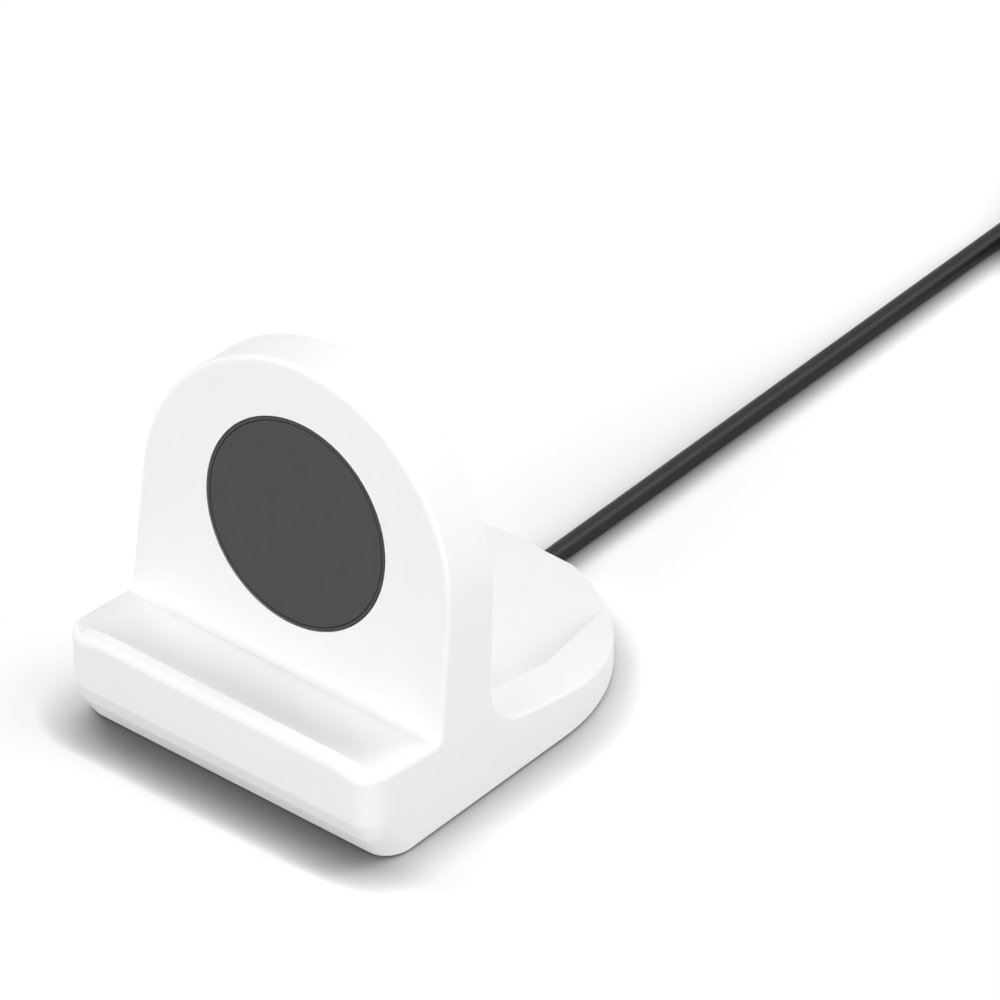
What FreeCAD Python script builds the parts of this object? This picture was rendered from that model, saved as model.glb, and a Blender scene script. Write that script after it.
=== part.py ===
import FreeCAD, Part
import math
import os
import re
import Sketcher

# A watch charging dock: a soft one-piece stand, a magnetic charging puck pressed into its
# leaning panel, and the puck's cable, which runs through the stand and out at the rear.
# X is the width, Y runs from the watch ledge to the rear, Z is up from the table.
# Lengths below are measured from the front of the ledge, and every piece is then moved
# so that the origin lies under the middle of the stand.

SIZES = {
    # Outer form of the stand
    "body_width": 56.0,
    "body_depth": 69.0,
    "tail_overrun": 0.7,
    "base_gap": 0.3,
    "corner_radius": 3.8,
    "rear_corner_radius": 3.0,
    "base_edge_radius": 0.4,
    "undercut_depth": 4.15,
    "undercut_break_depth": 1.45,
    "undercut_break_height": 4.45,
    "face_foot_setback": 0.4,
    "face_foot_height": 7.3,
    "face_foot_radius": 1.6,
    "undercut_break_radius": 0.6,
    # Watch ledge
    "lip_height": 17.1,
    "lip_thickness": 2.1,
    "lip_foot_run": 0.5,
    "lip_end_margin": 6.8,
    "lip_end_run": 4.0,
    "lip_end_radius": 3.0,
    "ledge_height": 16.3,
    "ledge_end_depth": 14.7,
    "ledge_blend": 1.2,
    "scoop_radius": 13.0,
    "trough_depth": 2.2,
    "trough_middle_depth": 5.75,
    "trough_end_margin": 1.8,
    # Leaning panel
    "panel_lean": 6.0,
    "panel_back_lean": 3.0,
    "panel_height": 62.1,
    "panel_top_narrowing": 0.4,
    "panel_foot_thickness": 11.0,
    "front_rim_radius": 0.9,
    "rear_rim_radius": 0.6,
    # Tail
    "tail_floor": 3.9,
    "tail_blend": 8.0,
    "rail_front_height": 10.9,
    "rail_middle_margin": 23.0,
    "rail_rear_margin": 6.2,
    "rail_fade": 6.0,
    "rail_blend": 8.5,
    "rail_front_width": 7.3,
    "rail_rear_width": 11.8,
    "rail_inner_bend": 12.0,
    # Charging puck
    "puck_diameter": 32.0,
    "puck_depth": 7.7,
    "puck_centre_height": 37.65,
    "puck_fit": 0.05,
    "case_rim": 0.55,
    "case_wall": 1.4,
    "case_back": 1.0,
    "case_edge_radius": 1.2,
    "case_rim_radius": 0.2,
    "cover_thickness": 0.8,
    "cover_gap": 0.12,
    "tape_thickness": 0.1,
    "tape_width": 0.6,
    "winding_thickness": 1.0,
    "winding_inner": 5.6,
    "winding_margin": 0.6,
    "winding_groove": 0.25,
    "winding_turns": 10,
    "winding_shoulder": 0.25,
    "ferrite_thickness": 0.8,
    "ferrite_margin": 1.1,
    "flux_plate_thickness": 0.4,
    "magnet_radius": 4.8,
    "carrier_wall": 0.6,
    "carrier_foot": 1.8,
    "carrier_gate_step": 0.5,
    "stack_clearance": 0.05,
    "board_thickness": 0.8,
    "board_height": 1.6,
    "board_shelf": 0.8,
    "window_diameter": 22.0,
    # Board parts
    "controller_side": 4.0,
    "controller_thickness": 0.85,
    "switch_side": 2.0,
    "switch_thickness": 0.75,
    "switch_pitch": 2.8,
    "capacitor_length": 3.2,
    "capacitor_width": 1.6,
    "capacitor_thickness": 1.2,
    "capacitor_pitch": 2.2,
    "choke_side": 3.0,
    "choke_thickness": 1.4,
    "sensor_length": 1.6,
    "sensor_width": 0.8,
    "lead_diameter": 0.7,
    "lead_spread": 1.7,
    "coil_lead_radius": 0.12,
    "joint_radius": 0.65,
    "joint_margin": 0.3,
    "controller_row": 1.5,
    "switch_row": -3.2,
    "capacitor_row": 7.5,
    "choke_place": -7.0,
    "sensor_place": 6.0,
    # Cable and its relief on the puck
    "cable_diameter": 2.9,
    "cable_height": 1.5,
    "cable_fit": 0.2,
    "cable_turn_reach": 9.5,
    "cable_turn_share": 0.45,
    "cable_offset": 1.15,
    "cable_shift_start": 38.0,
    "cable_shift_end": 58.0,
    "entry_depth": 4.2,
    "relief_flange_radius": 2.3,
    "relief_flange": 0.8,
    "relief_neck_radius": 1.95,
    "relief_collar_radius": 2.7,
    "relief_collar": 1.2,
    "relief_length": 4.6,
    "relief_tip_wall": 0.35,
    "relief_fit": 0.1,
    "relief_bay_rise": 1.5,
    # Way for the cable through the stand
    "plug_way_width": 13.6,
    "plug_way_length": 8.0,
    "plug_way_start": 28.5,
    "groove_width": 5.6,
    # Grip pad
    "pad_thickness": 1.2,
    "pad_inset": 3.5,
    "pad_front": 8.0,
    "pad_fit": 0.15,
    # Cable outside the stand
    "free_run": 100.0,
    "hank_radius": 16.0,
    "hank_pitch": 2.95,
    "hank_columns": 4,
    "hank_edge_radius": 1.4,
    "hank_ahead": 16.0,
    "hank_stub": 13.0,
    # Plug
    "plug_height": 3.0,
    "plug_relief_length": 10.0,
    "plug_relief_radius": 2.4,
    "plug_grip_length": 18.0,
    "plug_grip_width": 11.6,
    "plug_grip_thickness": 6.0,
    "plug_side_radius": 2.4,
    "shell_width": 8.34,
    "shell_thickness": 2.56,
    "shell_length": 6.65,
    "shell_wall": 0.3,
    "shell_rooting": 3.0,
    "insert_wall": 0.55,
    "insert_setback": 0.4,
    "contact_width": 0.25,
    "contact_height": 0.2,
    "contact_pitch": 1.0,
    "contact_count": 6,
}

# Lengths that follow from the sizes above.
FOLLOWING = {
    "half_width": "body_width / 2",
    "tail_centre": "body_depth + tail_overrun - body_width / 2",
    "rear_flat": "sqrt(half_width * half_width - (body_depth - tail_centre) * (body_depth - tail_centre))",
    "ledge_end_height": "ledge_height - tan(panel_lean) * ledge_end_depth",
    "lip_half_length": "half_width - lip_end_margin",
    "lip_rise": "cos(panel_lean) * (lip_height - ledge_height)",
    "lip_foot_depth": "lip_thickness + lip_foot_run",
    "lip_foot_height": "ledge_height - tan(panel_lean) * lip_foot_depth",
    "trough_half_length": "half_width - trough_end_margin",
    "trough_lift": "scoop_radius - trough_depth",
    "scoop_rise_radius": "trough_half_length * trough_half_length / (2 * trough_depth) - scoop_radius",
    "scoop_centre_depth": "trough_middle_depth + sin(panel_lean) * trough_lift",
    "scoop_centre_height":
        "ledge_height - tan(panel_lean) * trough_middle_depth + cos(panel_lean) * trough_lift",
    "panel_top_radius": "half_width - panel_top_narrowing",
    "panel_front_top": "ledge_end_depth + tan(panel_lean) * (panel_height - ledge_end_height)",
    "panel_back_top":
        "ledge_end_depth + panel_foot_thickness + tan(panel_back_lean) * (panel_height - ledge_end_height)",
    "panel_back_foot":
        "ledge_end_depth + panel_foot_thickness + tan(panel_back_lean) * (tail_floor - ledge_end_height)",
    "rail_middle_depth": "body_depth - rail_middle_margin",
    "rail_rear_depth": "body_depth - rail_rear_margin",
    "rail_inner_front": "half_width - rail_front_width",
    "rail_inner_rear": "half_width - rail_rear_width",
    "rail_root_depth": "ledge_end_depth + panel_foot_thickness / 2",
    "rail_root_height": "rail_front_height + 2 * rail_blend",
    "rail_back_foot":
        "panel_back_foot + tan(panel_back_lean) * (rail_front_height - tail_floor)",
    "rail_back_top": "panel_back_foot + tan(panel_back_lean) * (rail_root_height - tail_floor)",
    "puck_centre_depth": "ledge_end_depth + tan(panel_lean) * (puck_centre_height - ledge_end_height)",
    "arc_centre_height": "panel_height - panel_top_radius * cos(panel_lean)",
    "arc_centre_depth": "ledge_end_depth + tan(panel_lean) * (arc_centre_height - ledge_end_height)",
    "taper_reach": "(arc_centre_height - ledge_end_height) / cos(panel_lean)",
    "taper_angle":
        "2 * atan((sqrt(taper_reach * taper_reach + half_width * half_width"
        " - panel_top_radius * panel_top_radius) - taper_reach) / (half_width + panel_top_radius))",
    "puck_radius": "puck_diameter / 2",
    "cavity_radius": "puck_radius - case_wall",
    "ferrite_outer": "cavity_radius - ferrite_margin",
    "winding_outer": "ferrite_outer - winding_margin",
    "shelf_radius": "puck_radius - case_wall - board_shelf",
    "cover_radius": "puck_radius - case_rim - cover_gap",
    "winding_level": "cover_thickness + tape_thickness + stack_clearance",
    "ferrite_level": "winding_level + winding_thickness",
    "plate_level": "ferrite_level + ferrite_thickness",
    "carrier_level": "plate_level + flux_plate_thickness",
    "board_level": "puck_depth - case_back - board_height",
    "board_top": "board_level - board_thickness",
    "board_radius": "cavity_radius - 2 * stack_clearance",
    "carrier_radius": "cavity_radius - 4 * stack_clearance",
    "carrier_gate": "carrier_radius - carrier_foot - carrier_gate_step",
    "lead_radius": "lead_diameter / 2",
    "lead_start": "cavity_radius - relief_flange",
    "coil_lead_circle": "(ferrite_outer + carrier_radius - carrier_wall) / 2",
    "coil_lead_reach": "sqrt(coil_lead_circle * coil_lead_circle - lead_spread * lead_spread)",
    "joint_reach": "carrier_gate - joint_radius - joint_margin",
    "entry_y": "puck_centre_depth - sin(panel_lean) * lead_start + cos(panel_lean) * entry_depth",
    "entry_z": "puck_centre_height - cos(panel_lean) * lead_start - sin(panel_lean) * entry_depth",
    "turn_y": "entry_y - tan(panel_lean) * (entry_z - cable_height)",
    "way_front_foot":
        "turn_y - tan(panel_lean) * cable_height - (cable_diameter / 2 + cable_fit) / cos(panel_lean)",
    "way_front_top": "way_front_foot + tan(panel_lean) * puck_centre_height",
    "bay_reach": "puck_radius + relief_length + cable_fit",
    "bay_foot_depth":
        "puck_centre_depth - sin(panel_lean) * bay_reach + cos(panel_lean) * entry_depth",
    "bay_foot_height":
        "puck_centre_height - cos(panel_lean) * bay_reach - sin(panel_lean) * entry_depth",
    "hank_depth": "body_depth + free_run + hank_ahead",
    "hank_outer_turn": "hank_radius + (hank_columns - 1) / 2 * hank_pitch",
    "hank_half_width": "hank_columns * hank_pitch / 2",
    "hank_height": "cable_height + cable_diameter / 2 + hank_pitch",
    "hank_middle": "cable_offset + hank_outer_turn",
    "shell_root": "hank_middle + hank_stub + plug_relief_length + plug_grip_length - shell_rooting",
}

X_AXIS = FreeCAD.Vector(1, 0, 0)
Y_AXIS = FreeCAD.Vector(0, 1, 0)
Z_AXIS = FreeCAD.Vector(0, 0, 1)
SIDE_VIEW = FreeCAD.Placement(FreeCAD.Vector(), FreeCAD.Rotation(FreeCAD.Vector(1, 1, 1), 120))
FRONT_VIEW = FreeCAD.Placement(FreeCAD.Vector(), FreeCAD.Rotation(X_AXIS, 90))
PLAN_VIEW = FreeCAD.Placement()

doc = FreeCAD.newDocument("watch_dock")
sheet = doc.addObject("Spreadsheet::Sheet", "Sizes")
for row, (alias, number) in enumerate(SIZES.items(), start=1):
    sheet.set(f"A{row}", alias)
    sheet.set(f"B{row}", str(number))
    sheet.setAlias(f"B{row}", alias)
for row, (alias, formula) in enumerate(FOLLOWING.items(), start=len(SIZES) + 1):
    sheet.set(f"A{row}", alias)
    sheet.set(f"B{row}", f"={formula}")
    sheet.setAlias(f"B{row}", alias)
doc.recompute()


def size(alias):
    return float(getattr(sheet, alias))


def linked(formula):
    """Write a formula of size names as an expression that reads them from the sheet."""
    return re.sub(r"\b([a-z]+(?:_[a-z]+)+)\b", r"Sizes.\1", str(formula))


def worth(formula):
    return float(sheet.evalExpression(linked(formula).replace("Sizes.", "")))


def bind(feature, **formulas):
    for name, formula in formulas.items():
        setattr(feature, name, worth(formula))
        feature.setExpression(name, linked(formula))
    return feature


def drawing_of(name, view, *loops):
    """A sketch of closed loops of straight lines, each corner held by its two coordinates."""
    drawing = doc.addObject("Sketcher::SketchObject", name)
    drawing.Placement = view
    draw(drawing, loops)
    return drawing


def draw(drawing, loops):
    for corners in loops:
        first = drawing.GeometryCount
        points = [FreeCAD.Vector(worth(across), worth(up), 0) for across, up in corners]
        for index, point in enumerate(points):
            following = points[(index + 1) % len(points)]
            drawing.addGeometry(Part.LineSegment(point, following), False)
        for index in range(len(corners)):
            following = first + (index + 1) % len(corners)
            drawing.addConstraint(Sketcher.Constraint("Coincident", first + index, 2, following, 1))
        for index, (across, up) in enumerate(corners):
            hold(drawing, first + index, 1, across, up)


def hold(drawing, item, end, across, up):
    for kind, formula in (("DistanceX", across), ("DistanceY", up)):
        place = drawing.addConstraint(Sketcher.Constraint(kind, -1, 1, item, end, worth(formula)))
        drawing.setExpression(f"Constraints[{place}]", linked(formula))


def extruded(name, drawing, length, symmetric=False, reversed_way=False):
    solid = doc.addObject("Part::Extrusion", name)
    solid.Base = drawing
    solid.DirMode = "Normal"
    solid.Solid = True
    solid.Symmetric = symmetric
    solid.Reversed = reversed_way
    return bind(solid, LengthFwd=length)


def at(feature, x="0", y="0", z="0", turn="0", axis="1; 0; 0"):
    """Place a feature by formulas, turned by an angle about an axis."""
    feature.setExpression(
        "Placement",
        f"placement(vector({linked(x)}; {linked(y)}; {linked(z)});"
        f" rotation(vector({axis}); {linked(turn)}))",
    )
    return feature


def block(name, length, width, height, **place):
    solid = doc.addObject("Part::Box", name)
    bind(solid, Length=length, Width=width, Height=height)
    return at(solid, **place)


def rod(name, radius, height, **place):
    solid = doc.addObject("Part::Cylinder", name)
    bind(solid, Radius=radius, Height=height)
    return at(solid, **place)


def fused(name, *parts):
    solid = doc.addObject("Part::MultiFuse", name)
    solid.Shapes = list(parts)
    solid.Refine = True
    return solid


def common(name, *parts):
    solid = doc.addObject("Part::MultiCommon", name)
    solid.Shapes = list(parts)
    return solid


def grouped(name, *parts):
    group = doc.addObject("Part::Compound", name)
    group.Links = list(parts)
    return group


def cut(name, base, tool):
    solid = doc.addObject("Part::Cut", name)
    solid.Base = base
    solid.Tool = tool
    solid.Refine = True
    return solid


def rounded(name, base, radius, *places):
    """Round the edges that pass nearest to the places, with all that run on smoothly from them."""
    doc.recompute()
    chosen = set()
    for place in places:
        spot = Part.Vertex(*[worth(formula) for formula in place])
        gaps = [spot.distToShape(edge)[0] for edge in base.Shape.Edges]
        chosen.add(gaps.index(min(gaps)) + 1)
    solid = doc.addObject("Part::Fillet", name)
    solid.Base = base
    solid.Edges = [(edge, size(radius), size(radius)) for edge in sorted(chosen)]
    return solid


def near(first, second, slack=0.01):
    return abs(first - second) < slack


def both_sides(across, depth, height):
    return (across, depth, height), (f"-({across})", depth, height)


def turned_body(name, *loops):
    """A body made by turning half sections about its own Z axis: each loop is radius, height."""
    body = doc.addObject("PartDesign::Body", name)
    plane = next(item for item in body.Origin.OriginFeatures if item.Role == "XZ_Plane")
    drawing = body.newObject("Sketcher::SketchObject", f"{name}_section")
    drawing.AttachmentSupport = [(plane, "")]
    drawing.MapMode = "FlatFace"
    draw(drawing, loops)
    turning = body.newObject("PartDesign::Revolution", f"{name}_turned")
    turning.Profile = drawing
    turning.ReferenceAxis = (drawing, ["V_Axis"])
    turning.Angle = 360.0
    return body


SUB_PARTS = []


def sub_part(name, feature, **place):
    """Name a finished piece after its file, and place it in the dock's frame."""
    feature.Label = name
    if place:
        at(feature, **place)
    SUB_PARTS.append(feature)
    return feature


STAND = {"y": "-body_depth / 2"}


def obround(name, width, thickness, length, x, y, z):
    """A bar along X whose section is a flat rectangle with half-round ends."""
    width = f"({width})"
    thickness = f"({thickness})"
    reach = f"({width} - {thickness}) / 2"
    parts = [
        block(
            f"{name}_middle", length, f"{width} - {thickness}", thickness,
            x=x, y=f"{y} - {reach}", z=f"{z} - {thickness} / 2",
        )
    ]
    for side in ("-", "+"):
        parts.append(
            rod(
                f"{name}_end{len(parts)}", f"{thickness} / 2", length,
                x=x, y=f"{y} {side} {reach}", z=z, turn="90", axis="0; 1; 0",
            )
        )
    return fused(name, *parts)


def make_stand():
    """The soft stand, moulded in one piece."""
    side = drawing_of(
        "side_outline", SIDE_VIEW,
        [
            ("undercut_depth", "base_gap"),
            ("undercut_break_depth", "undercut_break_height"),
            ("face_foot_setback", "face_foot_height"),
            ("0", "lip_height"),
            ("lip_thickness", "lip_height - tan(panel_lean) * lip_thickness"),
            ("lip_foot_depth", "lip_foot_height"),
            ("ledge_end_depth", "ledge_end_height"),
            ("panel_front_top", "panel_height"),
            ("panel_back_top", "panel_height"),
            ("panel_back_foot", "tail_floor"),
            ("body_depth", "tail_floor"),
            ("body_depth", "base_gap"),
        ],
    )
    bar = extruded("side_bar", side, "body_width", symmetric=True)
    bar = rounded(
        "cornered_bar", bar, "corner_radius",
        *both_sides("half_width", "face_foot_setback / 2", "(face_foot_height + lip_height) / 2"),
        *both_sides(
            "half_width", "(face_foot_setback + undercut_break_depth) / 2",
            "(face_foot_height + undercut_break_height) / 2",
        ),
        *both_sides(
            "half_width", "(undercut_depth + undercut_break_depth) / 2",
            "(base_gap + undercut_break_height) / 2",
        ),
    )
    bar = rounded("ledge_foot", bar, "ledge_blend", ("0", "ledge_end_depth", "ledge_end_height"))
    bar = rounded("tail_foot", bar, "tail_blend", ("0", "panel_back_foot", "tail_floor"))
    rail_side = drawing_of(
        "rail_outline", SIDE_VIEW,
        [
            ("rail_root_depth", "base_gap"),
            ("rail_root_depth", "rail_root_height"),
            ("rail_back_top", "rail_root_height"),
            ("rail_back_foot", "rail_front_height"),
            ("rail_rear_depth", "tail_floor"),
            ("body_depth", "tail_floor"),
            ("body_depth", "base_gap"),
        ],
    )
    rails = extruded("rail_bar", rail_side, "body_width", symmetric=True)
    rails = rounded("rail_foot", rails, "rail_blend", ("0", "rail_back_foot", "rail_front_height"))
    rails = rounded("rail_end", rails, "rail_fade", ("0", "rail_rear_depth", "tail_floor"))
    recess = drawing_of(
        "recess_outline", PLAN_VIEW,
        [
            ("-rail_inner_front", "0"),
            ("rail_inner_front", "0"),
            ("rail_inner_front", "rail_middle_depth"),
            ("rail_inner_rear", "rail_rear_depth"),
            ("rail_inner_rear", "body_depth + half_width"),
            ("-rail_inner_rear", "body_depth + half_width"),
            ("-rail_inner_rear", "rail_rear_depth"),
            ("-rail_inner_front", "rail_middle_depth"),
        ],
    )
    rails = cut("rails", rails, extruded("recess", recess, "panel_height"))
    form = fused("stand_form", bar, rails)

    plan = fused(
        "plan_column",
        block(
            "plan_front", "body_width", "tail_centre + half_width / 2", "panel_height * 1.5",
            x="-half_width", y="-half_width / 2",
        ),
        rod("plan_tail", "half_width", "panel_height * 1.5", y="tail_centre"),
    )
    form = common("plan_form", form, plan)

    waste = drawing_of(
        "arc_waste_outline", FRONT_VIEW,
        *[
            [
                (f"{sign} half_width", "-taper_reach"),
                (f"{sign} panel_top_radius * cos(taper_angle)", "panel_top_radius * sin(taper_angle)"),
                ("0", "0"),
                ("0", "body_width"),
                (f"{sign} body_width", "body_width"),
                (f"{sign} body_width", "-taper_reach"),
            ]
            for sign in ("", "-")
        ],
    )
    above = extruded("above_arc", waste, "body_width * 2", symmetric=True)
    at(above, y="arc_centre_depth", z="arc_centre_height", turn="-panel_lean")
    arc = rod(
        "round_top", "panel_top_radius", "body_width * 2",
        y="arc_centre_depth + cos(panel_lean) * body_width",
        z="arc_centre_height - sin(panel_lean) * body_width", turn="90 - panel_lean",
    )
    form = cut("topped_form", form, cut("arc_waste", above, arc))

    lip_end = drawing_of(
        "lip_end_outline", FRONT_VIEW,
        *[
            [
                (f"{sign} lip_half_length", "lip_rise"),
                (f"{sign} (lip_half_length + lip_end_run)", "0"),
                (f"{sign} body_width", "0"),
                (f"{sign} body_width", "half_width"),
                (f"{sign} lip_half_length", "half_width"),
            ]
            for sign in ("", "-")
        ],
    )
    ends = extruded("lip_ends", lip_end, "ledge_end_depth", symmetric=True)
    at(ends, z="ledge_height", turn="-panel_lean")
    form = cut("lipped_form", form, ends)
    scoop = doc.addObject("Part::Torus", "scoop")
    bind(scoop, Radius1="scoop_rise_radius", Radius2="scoop_radius")
    at(
        scoop, y="scoop_centre_depth", z="scoop_centre_height + scoop_rise_radius", turn="90",
    )
    behind_lip = block(
        "behind_lip", "body_width", "ledge_end_depth - (lip_thickness + lip_foot_run / 2)",
        "lip_height", x="-half_width", y="lip_thickness + lip_foot_run / 2",
    )
    form = cut("scooped_form", soften_rims(form), common("trough", scoop, behind_lip))

    pocket = rod(
        "puck_pocket", "puck_diameter / 2 + puck_fit", "puck_depth + puck_fit + half_width",
        y="puck_centre_depth + cos(panel_lean) * (puck_depth + puck_fit)",
        z="puck_centre_height - sin(panel_lean) * (puck_depth + puck_fit)",
        turn="90 - panel_lean",
    )
    window = rod(
        "window", "window_diameter / 2", "half_width",
        y="puck_centre_depth + cos(panel_lean) * half_width",
        z="puck_centre_height - sin(panel_lean) * half_width", turn="90 - panel_lean",
    )
    way = drawing_of(
        "cable_way_outline", SIDE_VIEW,
        [
            ("way_front_foot", "-base_gap"),
            ("way_front_top", "puck_centre_height"),
            ("body_depth", "puck_centre_height"),
            ("body_depth", "ledge_end_height"),
            ("plug_way_start + plug_way_length / 2", "ledge_end_height"),
            ("plug_way_start + plug_way_length / 2", "-base_gap"),
        ],
    )
    slit = extruded("cable_slit", way, "cable_diameter + 2 * cable_fit", symmetric=True)
    relief_bay = rod(
        "relief_bay", "relief_collar_radius + cable_fit", "relief_length + cable_fit + relief_bay_rise",
        y="bay_foot_depth", z="bay_foot_height", turn="-panel_lean",
    )
    groove = block(
        "cable_groove", "groove_width", "body_depth",
        "cable_height + cable_diameter / 2 + cable_fit",
        x="-groove_width / 2", y="plug_way_start + plug_way_length / 4",
    )
    plug_way = obround(
        "plug_way", "plug_way_width", "plug_way_length", "half_width", "0", "0", "0"
    )
    at(plug_way, y="plug_way_start + plug_way_length / 2", z="-base_gap", turn="120", axis="-1; -1; -1")
    seat = pad_outline("pad_seat", "pad_fit", "pad_thickness")
    hollows = fused("hollows", pocket, window, slit, relief_bay, groove, plug_way, seat)
    form = cut("hollowed_form", form, hollows)
    return sub_part("stand_body", form, **STAND)


def soften_rims(form):
    """Round the rims of the moulding, which leave no sharp edge to hand or watch."""
    form = rounded(
        "rear_corners", form, "rear_corner_radius",
        *both_sides("rear_flat", "body_depth", "tail_floor / 2"),
    )
    form = rounded(
        "rail_sides", form, "rail_inner_bend",
        *both_sides("rail_inner_front", "rail_middle_depth", "tail_floor + lip_thickness"),
    )
    form = rounded("rear_rim", form, "rear_rim_radius", ("0", "body_depth", "tail_floor"))
    form = rounded(
        "lip_ramps", form, "lip_end_radius",
        *both_sides("lip_half_length", "lip_thickness / 2", "lip_height"),
        *both_sides("lip_half_length + lip_end_run", "lip_thickness / 2", "ledge_height"),
    )
    form = rounded("front_rim", form, "front_rim_radius", ("0", "0", "lip_height"))
    form = rounded(
        "face_foot", form, "face_foot_radius", ("0", "face_foot_setback", "face_foot_height")
    )
    form = rounded(
        "undercut_break", form, "undercut_break_radius",
        ("0", "undercut_break_depth", "undercut_break_height"),
    )
    return rounded("base_rim", form, "base_edge_radius", ("0", "undercut_depth", "base_gap"))


def pad_outline(name, extra, height):
    """A plate in the outline of the grip pad, larger all round by the extra length."""
    reach = f"half_width - pad_inset + {extra}"
    front = block(
        f"{name}_front", f"2 * ({reach})", f"tail_centre - pad_front + {extra}", height,
        x=f"-({reach})", y=f"pad_front - {extra}",
    )
    tail = rod(f"{name}_tail", reach, height, y="tail_centre")
    return fused(name, front, tail)


def make_grip_pad():
    """The tacky pad under the stand, slotted for the cable."""
    plate = pad_outline("pad_plate", "0", "pad_thickness")
    slot = block(
        "pad_slot", "groove_width", "body_depth", "pad_thickness * 3",
        x="-groove_width / 2", y="plug_way_start + plug_way_length / 4", z="-pad_thickness",
    )
    front_slot = block(
        "pad_front_slot", "cable_diameter + 2 * cable_fit",
        "plug_way_start - way_front_foot + pad_thickness", "pad_thickness * 3",
        x="-cable_diameter / 2 - cable_fit", y="way_front_foot", z="-pad_thickness",
    )
    hole = obround("pad_hole", "plug_way_width", "plug_way_length", "half_width", "0", "0", "0")
    at(hole, y="plug_way_start + plug_way_length / 2", z="-half_width / 2", turn="120", axis="-1; -1; -1")
    pad = cut("pad", plate, fused("pad_openings", slot, front_slot, hole))
    return sub_part("grip_pad", pad, **STAND)


PUCK = {
    "y": "puck_centre_depth - body_depth / 2",
    "z": "puck_centre_height",
    "turn": "90 - panel_lean",
}


def ring(name, inner, outer, low, high):
    return turned_body(name, [(inner, low), (outer, low), (outer, high), (inner, high)])


def make_puck_case():
    """The rear cup of the puck, with a ledge for the cover and a shelf for the board."""
    cup = turned_body(
        "case_cup",
        [
            ("0", "-puck_depth"),
            ("puck_radius - case_edge_radius", "-puck_depth"),
            ("puck_radius", "-puck_depth + case_edge_radius"),
            ("puck_radius", "-case_rim_radius"),
            ("puck_radius - case_rim_radius", "0"),
            ("puck_radius - case_rim", "0"),
            ("puck_radius - case_rim", "-cover_thickness - tape_thickness"),
            ("cavity_radius", "-cover_thickness - tape_thickness"),
            ("cavity_radius", "-board_level"),
            ("shelf_radius", "-board_level"),
            ("shelf_radius", "-puck_depth + case_back"),
            ("0", "-puck_depth + case_back"),
        ],
    )
    hole = rod(
        "case_hole", "relief_neck_radius + relief_fit", "half_width",
        y="-shelf_radius", z="-entry_depth", turn="90",
    )
    notch = block(
        "case_notch", "2 * (relief_flange_radius + relief_fit)", "half_width / 2",
        "2 * (relief_flange_radius + relief_fit)",
        x="-relief_flange_radius - relief_fit", y="-cavity_radius",
        z="-entry_depth - relief_flange_radius - relief_fit",
    )
    case = cut("case", cup, fused("case_openings", hole, notch))
    return sub_part("puck_rear_case", case, **PUCK)


def make_stack():
    """The round layers inside the puck, from the cover down to the board."""
    sub_part(
        "puck_front_cover",
        ring("cover", "0", "puck_radius - case_rim - cover_gap", "-cover_thickness", "0"),
        **PUCK,
    )
    sub_part(
        "cover_tape",
        ring(
            "tape", "cover_radius - tape_width", "cover_radius",
            "-cover_thickness - tape_thickness", "-cover_thickness",
        ),
        **PUCK,
    )
    sub_part("charging_coil", make_winding(), **PUCK)
    sub_part(
        "ferrite_shield",
        ring(
            "ferrite", "magnet_radius + stack_clearance", "ferrite_outer",
            "-plate_level", "-ferrite_level",
        ),
        **PUCK,
    )
    sub_part(
        "flux_plate",
        ring("plate", "0", "ferrite_outer", "-carrier_level", "-plate_level"),
        **PUCK,
    )
    sub_part(
        "alignment_magnet",
        ring("magnet", "0", "magnet_radius", "-plate_level", "-winding_level"),
        **PUCK,
    )
    cable_gate = block(
        "cable_gate", "2 * relief_collar_radius", "puck_radius", "puck_depth",
        x="-relief_collar_radius", y="-puck_radius - carrier_gate", z="-puck_depth",
    )
    lead_gate = block(
        "lead_gate", "2 * relief_collar_radius", "puck_radius", "board_top - carrier_level",
        x="-relief_collar_radius", y="carrier_gate", z="-board_top",
    )
    gates = fused("carrier_gates", cable_gate, lead_gate)
    carrier = turned_body(
        "carrier_ring",
        [
            ("carrier_radius - carrier_foot", "-board_top"),
            ("carrier_radius", "-board_top"),
            ("carrier_radius", "-winding_level"),
            ("carrier_radius - carrier_wall", "-winding_level"),
            ("carrier_radius - carrier_wall", "-carrier_level"),
            ("carrier_radius - carrier_foot", "-carrier_level"),
        ],
    )
    sub_part("coil_carrier", cut("carrier", carrier, gates), **PUCK)
    board = ring("board_disc", "0", "board_radius", "-board_level", "-board_top")
    board_gate = block(
        "board_gate", "2 * relief_collar_radius", "puck_radius", "puck_depth",
        x="-relief_collar_radius", y="-puck_radius - carrier_gate", z="-puck_depth",
    )
    sub_part("circuit_board", cut("board", board, board_gate), **PUCK)


def make_winding():
    """The flat copper winding: one ridge to each turn."""
    turns = int(size("winding_turns"))
    crest = "-winding_level"
    trough = "-winding_level - winding_groove"
    pitch = "(winding_outer - winding_inner) / winding_turns"
    corners = [("winding_inner", "-ferrite_level")]
    for turn in range(turns):
        start = f"winding_inner + {turn} * {pitch}"
        corners.append((start, trough))
        corners.append((f"{start} + winding_shoulder * {pitch}", crest))
        corners.append((f"{start} + (1 - winding_shoulder) * {pitch}", crest))
    corners.append(("winding_outer", trough))
    corners.append(("winding_outer", "-ferrite_level"))
    return turned_body("winding", corners)


def chips(name, length, width, thickness, places):
    """Like components under the board, as one group."""
    parts = []
    for x, y in places:
        parts.append(
            block(
                f"{name}_{len(parts) + 1}", length, width, thickness,
                x=f"{x} - {length} / 2", y=f"{y} - {width} / 2", z=f"-board_level - {thickness}",
            )
        )
    return sub_part(name, grouped(f"{name}_group", *parts), **PUCK)


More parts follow.
